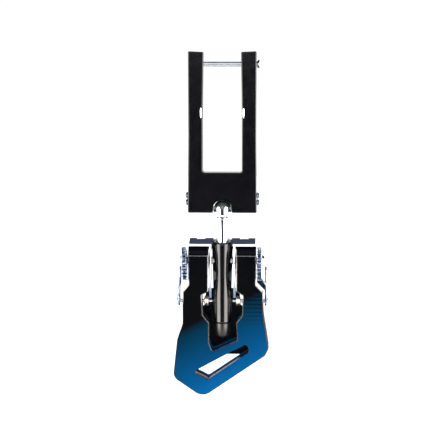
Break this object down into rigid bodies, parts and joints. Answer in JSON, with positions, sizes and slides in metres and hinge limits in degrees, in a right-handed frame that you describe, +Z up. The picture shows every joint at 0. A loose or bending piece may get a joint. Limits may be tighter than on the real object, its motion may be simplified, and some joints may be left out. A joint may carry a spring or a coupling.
{
  "type": "spring-loaded camming device",
  "caption": "Camming anchor with a thumb yoke, swivelling stem, finger trigger, toothed cams on one axle and a flat nose guard with a slanted slot.",
  "frame": {"origin": "centre of the cross pin at the top of the yoke, from which the device hangs", "axes": "+Z up along the stem towards the yoke, -Y the front of the guard, +X the side the cross pin is drawn out of"},
  "size_m": [0.0677, 0.04, 0.2423],
  "materials": {
    "black_anodised": "gloss black anodised",
    "blue_fade_anodised": "gloss anodised, black fading to blue",
    "satin_aluminium": "satin",
    "polished_steel": "polished",
    "brushed_steel": "brushed",
    "nickel_bronze": "satin",
    "spring_steel": "drawn wire"
  },
  "bodies": {
    "yoke": {"yoke_frame": "black_anodised", "swivel_block": "polished_steel", "tilt_pin": "brushed_steel", "block_screw_left_1": "brushed_steel", "block_screw_left_2": "brushed_steel", "block_screw_right_1": "brushed_steel", "block_screw_right_2": "brushed_steel", "detent_ring": "spring_steel"},
    "cross_pin": {"cross_pin": "polished_steel"},
    "swivel": {"swivel_ball": "brushed_steel", "swivel_cup": "polished_steel"},
    "stem": {"swivel_washer": "nickel_bronze", "stem_rod": "polished_steel", "stem_sleeve": "black_anodised", "end_collar": "black_anodised", "sleeve_grub_screw": "brushed_steel", "cam_axle": "brushed_steel", "axle_nut_left": "polished_steel", "axle_nut_right": "polished_steel", "axle_washer_left": "nickel_bronze", "axle_washer_right": "nickel_bronze", "front_cheek": "blue_fade_anodised", "rear_cheek": "blue_fade_anodised", "core_spacer": "satin_aluminium", "back_cover": "black_anodised", "cheek_screw_1": "brushed_steel", "cheek_screw_2": "brushed_steel", "cheek_screw_3": "brushed_steel", "cheek_screw_4": "brushed_steel", "cheek_screw_5": "brushed_steel", "cover_screw_1": "brushed_steel", "cover_screw_2": "brushed_steel", "cover_screw_3": "brushed_steel", "cover_screw_4": "brushed_steel", "collar_bolt": "brushed_steel", "torsion_spring_left": "spring_steel", "torsion_spring_right": "spring_steel"},
    "inner_cam_left": {"inner_cam_left": "satin_aluminium"},
    "inner_cam_right": {"inner_cam_right": "satin_aluminium"},
    "outer_cam_left": {"outer_cam_left": "satin_aluminium"},
    "outer_cam_right": {"outer_cam_right": "satin_aluminium"},
    "trigger": {"finger_wing_left": "polished_steel", "finger_wing_right": "polished_steel", "crossbar_left": "brushed_steel", "crossbar_right": "brushed_steel", "pin_collar_left": "nickel_bronze", "pin_collar_right": "nickel_bronze", "yoke_pin_left": "brushed_steel", "yoke_pin_right": "brushed_steel", "rear_yoke": "brushed_steel", "yoke_screw_left": "brushed_steel", "yoke_screw_right": "brushed_steel"}
  },
  "joints": [
    {"name": "cross_pin_slide", "type": "slide", "parent": "yoke", "child": "cross_pin", "axis": [1, 0, 0], "range_m": [0, 0.046]},
    {"name": "tilt", "type": "hinge", "parent": "yoke", "child": "swivel", "pos_m": [0, 0, -0.1004], "axis": [1, 0, 0], "range_deg": [-38, 38]},
    {"name": "swivel_spin", "type": "hinge", "parent": "swivel", "child": "stem", "pos_m": [0, 0, -0.1071], "axis": [0, 0, 1], "continuous": true},
    {"name": "trigger_pull", "type": "slide", "parent": "stem", "child": "trigger", "axis": [0, 0, 1], "range_m": [0, 0.012], "stiffness_N_per_m": 800, "springref_m": -0.004},
    {"name": "inner_cam_left_turn", "type": "hinge", "parent": "stem", "child": "inner_cam_left", "pos_m": [0, 0, -0.1373], "axis": [1, 0, 0], "range_deg": [0, 53.5]},
    {"name": "outer_cam_left_turn", "type": "hinge", "parent": "stem", "child": "outer_cam_left", "pos_m": [0, 0, -0.1373], "axis": [-1, 0, 0], "range_deg": [0, 53.5]},
    {"name": "inner_cam_right_turn", "type": "hinge", "parent": "stem", "child": "inner_cam_right", "pos_m": [0, 0, -0.1373], "axis": [1, 0, 0], "range_deg": [0, 53.5]},
    {"name": "outer_cam_right_turn", "type": "hinge", "parent": "stem", "child": "outer_cam_right", "pos_m": [0, 0, -0.1373], "axis": [-1, 0, 0], "range_deg": [0, 53.5]}
  ],
  "couplings": [
    {"joint": "inner_cam_left_turn", "follows": "trigger_pull", "rad_per_m": 77.27},
    {"joint": "inner_cam_right_turn", "follows": "trigger_pull", "rad_per_m": 77.27},
    {"joint": "outer_cam_left_turn", "follows": "trigger_pull", "rad_per_m": 77.27},
    {"joint": "outer_cam_right_turn", "follows": "trigger_pull", "rad_per_m": 77.27}
  ]
}
